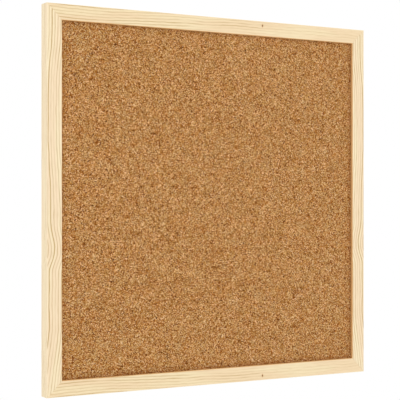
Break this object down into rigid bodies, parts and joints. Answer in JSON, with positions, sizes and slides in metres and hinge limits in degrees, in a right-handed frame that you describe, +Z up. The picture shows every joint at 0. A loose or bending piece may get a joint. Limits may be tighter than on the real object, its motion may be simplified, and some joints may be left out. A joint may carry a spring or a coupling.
{
  "type": "cork bulletin board",
  "caption": "Square cork notice board in a mitred pine frame, with the cork set back behind the frame, hung on D-ring strap hangers.",
  "frame": {"origin": "on the wall plane, behind the middle of the board, where the backs of the rubber bumpers also lie", "axes": "+X to the right as one faces the cork, +Y into the wall, +Z up"},
  "size_m": [0.6, 0.0275, 0.6],
  "materials": {
    "pine": "satin",
    "cork": "matte",
    "softboard": "matte",
    "hardboard": "matte",
    "bright_steel": "satin",
    "zinc_plated_steel": "satin",
    "rubber": "matte"
  },
  "bodies": {
    "board": {"frame_top_rail": "pine", "frame_bottom_rail": "pine", "frame_left_stile": "pine", "frame_right_stile": "pine", "cork_sheet": "cork", "softboard_core": "softboard", "hardboard_back": "hardboard", "v_nail_top_right_1": "bright_steel", "v_nail_top_right_2": "bright_steel", "v_nail_bottom_right_1": "bright_steel", "v_nail_bottom_right_2": "bright_steel", "v_nail_bottom_left_1": "bright_steel", "v_nail_bottom_left_2": "bright_steel", "v_nail_top_left_1": "bright_steel", "v_nail_top_left_2": "bright_steel", "panel_point_top_1": "bright_steel", "panel_point_top_2": "bright_steel", "panel_point_top_3": "bright_steel", "panel_point_right_1": "bright_steel", "panel_point_right_2": "bright_steel", "panel_point_right_3": "bright_steel", "panel_point_bottom_1": "bright_steel", "panel_point_bottom_2": "bright_steel", "panel_point_bottom_3": "bright_steel", "panel_point_left_1": "bright_steel", "panel_point_left_2": "bright_steel", "panel_point_left_3": "bright_steel", "strap_hanger_left": "zinc_plated_steel", "hanger_screw_left_1": "zinc_plated_steel", "hanger_screw_left_2": "zinc_plated_steel", "strap_hanger_right": "zinc_plated_steel", "hanger_screw_right_1": "zinc_plated_steel", "hanger_screw_right_2": "zinc_plated_steel", "wall_bumper_left": "rubber", "wall_bumper_right": "rubber"},
    "left_ring": {"d_ring_left": "zinc_plated_steel"},
    "right_ring": {"d_ring_right": "zinc_plated_steel"}
  },
  "joints": [
    {"name": "left_ring_pivot", "type": "hinge", "parent": "board", "child": "left_ring", "pos_m": [-0.2898, -0.0027, 0.24], "axis": [1, 0, 0], "range_deg": [0, 180]},
    {"name": "right_ring_pivot", "type": "hinge", "parent": "board", "child": "right_ring", "pos_m": [0.2898, -0.0027, 0.24], "axis": [1, 0, 0], "range_deg": [0, 180]}
  ]
}
